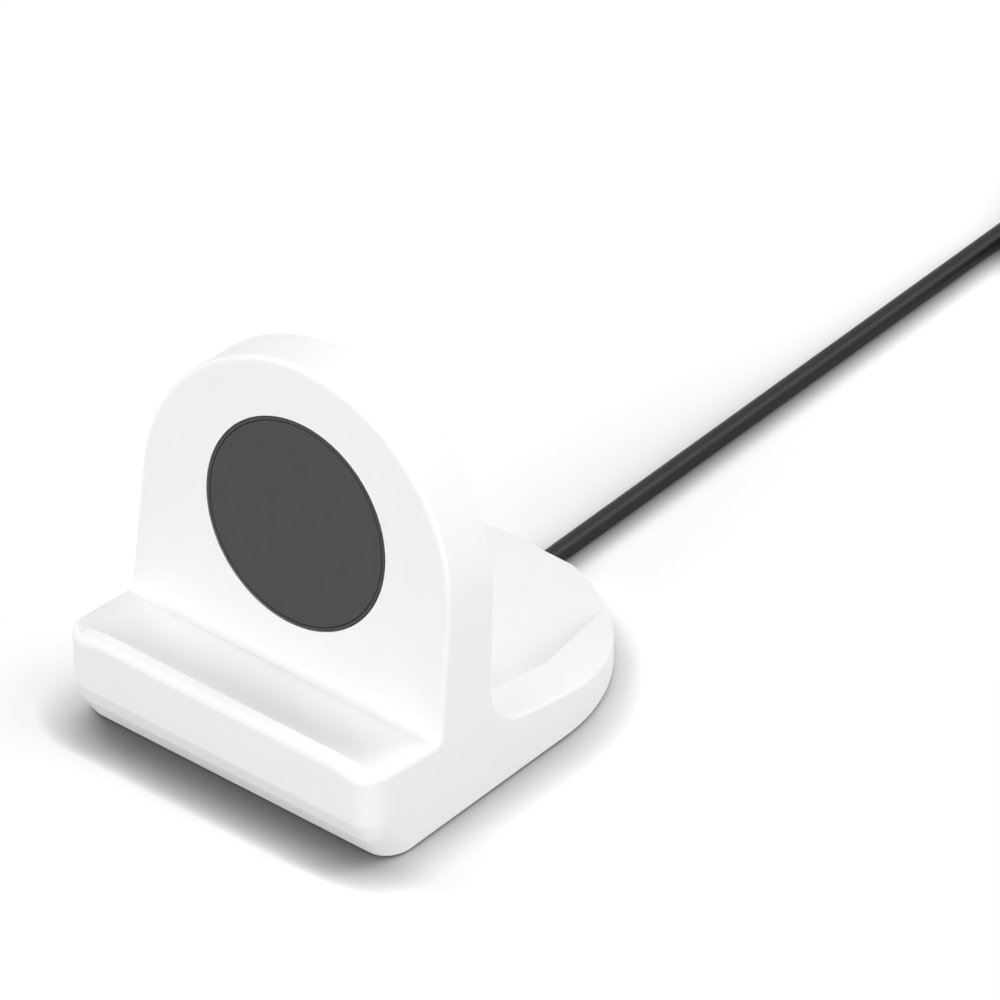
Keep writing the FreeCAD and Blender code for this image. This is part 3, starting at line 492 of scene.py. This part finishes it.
# The table: a sheet of white paper that runs out into the white of the room a little way round the
# stand and its cable. Round what touches it, a dark rim of painted shade darkens the paper's colour,
# and it throws a duller light back on the stand than it shows itself.
TABLE_HALF = 6.0
PAPER_WHITE, PAPER_SHADED, PAPER_RETURN = grey(1.0), grey(0.02), grey(0.42)
PAPER_MIDDLE, PAPER_HALF_WIDTH, PAPER_HALF_DEPTH = (0.006, 0.070, 0), 0.050, 0.160
SHADE_REACH, CABLE_SHADE_REACH, SHADE_STRENGTH = 0.0078, 0.0032, 1.35
floor_mesh = bpy.data.meshes.new("table")
floor_mesh.from_pydata([
    (-TABLE_HALF, -TABLE_HALF, 0), (TABLE_HALF, -TABLE_HALF, 0),
    (TABLE_HALF, TABLE_HALF, 0), (-TABLE_HALF, TABLE_HALF, 0),
], [], [(0, 1, 2, 3)])
table = placed("table", floor_mesh)


def seen_ray(finish):
    """1 for a ray from the eye, straight or by way of a shiny or clear surface, else 0."""
    path = finish.node("ShaderNodeLightPath").outputs
    eye, shiny, clear = (
        Reading(finish, path[kind]) for kind in ("Is Camera Ray", "Is Glossy Ray", "Is Transmission Ray"))
    return eye + shiny + clear


paper = new_finish("table_paper")
rearwards = paper.node("ShaderNodeCombineXYZ", {}, {"X": -0.15, "Y": 0.85, "Z": 0.50}).outputs[0]
rear_distance = paper.node("ShaderNodeSeparateXYZ", {}, {0: paper.place}).outputs["Y"]
behind_stand = paper.part_of(rear_distance, 0.030, 0.045)


def open_sky_for_painted_shade(reach):
    """Share of the sky that things within `reach` leave free, a little darker than it is, and looking
    to the rear, where the brightest light on the table comes from. It is used as painted shade in
    the paper's colour."""
    made = paper.node("ShaderNodeAmbientOcclusion", {"samples": 8}, {
        "Distance": reach, "Normal": rearwards})
    return Reading(paper, made.outputs["AO"]) ** SHADE_STRENGTH


# Painted shade: the paper's colour darkens towards PAPER_SHADED where ambient occlusion finds things close
# by, over a longer reach round the stand and a shorter one round the cable behind it.
shade = open_sky_for_painted_shade(SHADE_REACH) * (1 - behind_stand) + open_sky_for_painted_shade(CABLE_SHADE_REACH) * behind_stand
white_paper = paper.node("ShaderNodeBsdfDiffuse", {}, {
    "Color": paper.between(shade, PAPER_SHADED, PAPER_WHITE)})
dull_paper = paper.node("ShaderNodeBsdfDiffuse", {}, {"Color": PAPER_RETURN})
sheen = paper.node("ShaderNodeEmission", {}, {"Color": grey(1), "Strength": 1.0})
moved = paper.node("ShaderNodeVectorMath", {"operation": "SUBTRACT"}, {0: paper.place, 1: PAPER_MIDDLE})
oval = paper.node("ShaderNodeVectorMath", {"operation": "MULTIPLY"}, {
    0: moved.outputs[0], 1: (1 / PAPER_HALF_WIDTH, 1 / PAPER_HALF_DEPTH, 1)})
from_middle = paper.node("ShaderNodeVectorMath", {"operation": "LENGTH"}, {0: oval.outputs[0]})
far_off = paper.part_of(from_middle.outputs["Value"], 0.95, 1.25)
shown = paper.node("ShaderNodeMixShader", {}, {
    0: far_off, 1: white_paper.outputs[0], 2: sheen.outputs[0]})
both = paper.node("ShaderNodeMixShader", {}, {
    0: seen_ray(paper), 1: dull_paper.outputs[0], 2: shown.outputs[0]})
paper.node("ShaderNodeOutputMaterial", {}, {"Surface": both.outputs[0]})
floor_mesh.materials.append(paper.owner)


# The room: white to the eye, but nearly all light comes from five large soft lamps that stand round
# the table, as in a product tent.
ROOM_LEVEL = 0.06
LAMP_DISTANCE = 1.6
LAMP_WIDTH = 0.9
LAMPS = {
    "front_light": (0, 20, 0.70),
    "right_light": (90, 20, 0.50),
    "left_light": (-90, 45, 0.48),
    "rear_light": (140, 45, 0.44),
    "top_light": (-150, 62, 0.15),
}

room = Finish(bpy.data.worlds.new("room"))
walls = room.node("ShaderNodeBackground", {}, {
    "Color": grey(1), "Strength": ROOM_LEVEL + (1 - ROOM_LEVEL) * seen_ray(room)})
room.node("ShaderNodeOutputWorld", {}, {"Surface": walls.outputs[0]})
bpy.context.scene.world = room.owner


def soft_light(name, turn, rise, level):
    """A square light that faces the stand from `turn` degrees round from its front, `rise` degrees
    up. Its power is the level times pi squared times the distance squared, so a white surface that
    faces it shows that level."""
    away = direction(math.radians(turn), math.radians(rise))
    lamp = bpy.data.lights.new(name, "AREA")
    lamp.shape = "SQUARE"
    lamp.size = LAMP_WIDTH
    lamp.energy = level * (math.pi * LAMP_DISTANCE) ** 2
    holder = placed(name, lamp)
    holder.location = away * LAMP_DISTANCE
    holder.rotation_euler = away.to_track_quat("Z", "Y").to_euler()


for name, (turn, rise, level) in LAMPS.items():
    soft_light(name, turn, rise, level)
bpy.context.scene.view_settings.view_transform = "Standard"
